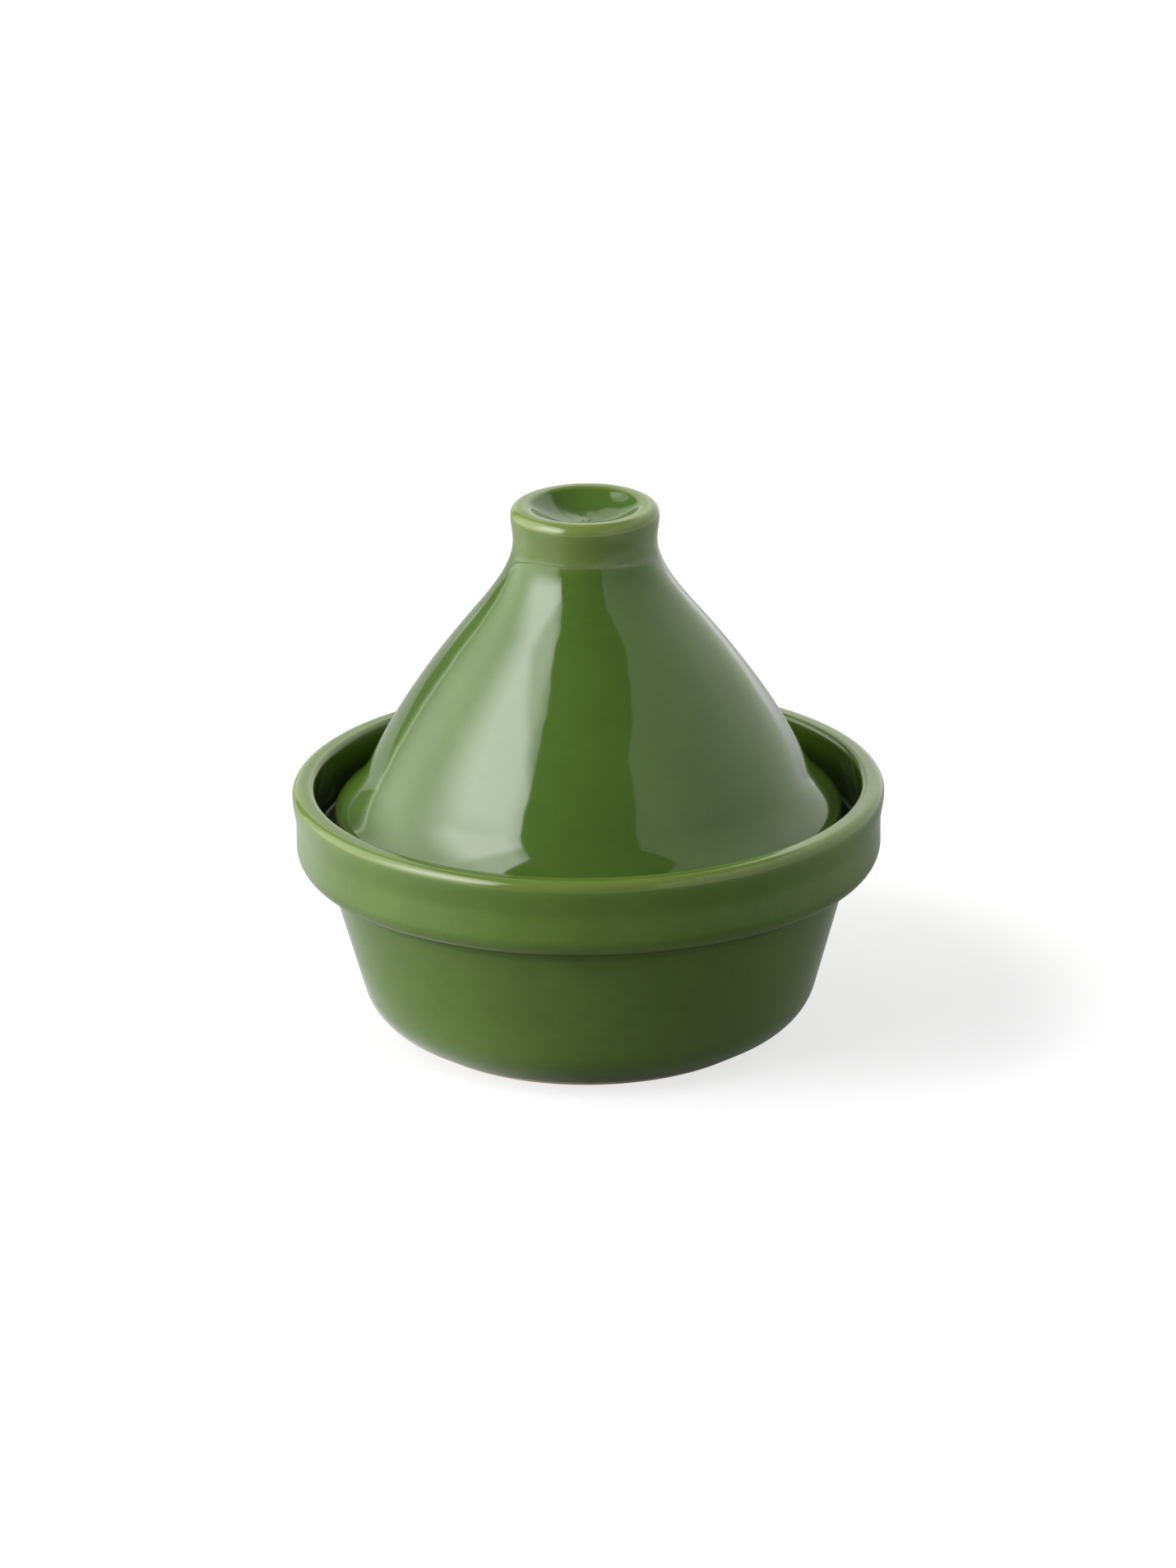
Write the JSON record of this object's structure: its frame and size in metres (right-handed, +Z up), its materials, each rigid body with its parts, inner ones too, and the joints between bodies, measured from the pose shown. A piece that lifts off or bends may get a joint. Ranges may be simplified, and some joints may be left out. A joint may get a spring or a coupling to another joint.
{
  "type": "tagine",
  "caption": "Small glazed stoneware tagine: a deep round dish with a thick collar and inner ledge, and a hollow bell-shaped lid with a recessed knob that lifts off for serving.",
  "frame": {"origin": "middle of the foot ring, on the surface that the dish stands on", "axes": "+Z up along the axis that the dish and lid are turned about, from the foot to the knob; +X and +Y are free, because the form is round"},
  "size_m": [0.15, 0.15, 0.1392],
  "materials": {
    "dish_glaze": "glossy green glaze on stoneware, breaking to yellow olive on the edges, bare clay on the foot",
    "lid_glaze": "glossy green glaze on stoneware, breaking to yellow olive on the knob's lip, bare clay on the lower edge"
  },
  "bodies": {
    "dish": {"dish": "dish_glaze"},
    "lid": {"lid": "lid_glaze"}
  },
  "joints": [
    {"name": "lid_lift", "type": "slide", "parent": "dish", "child": "lid", "axis": [0, 0, 1], "range_m": [0, 0.1]}
  ]
}
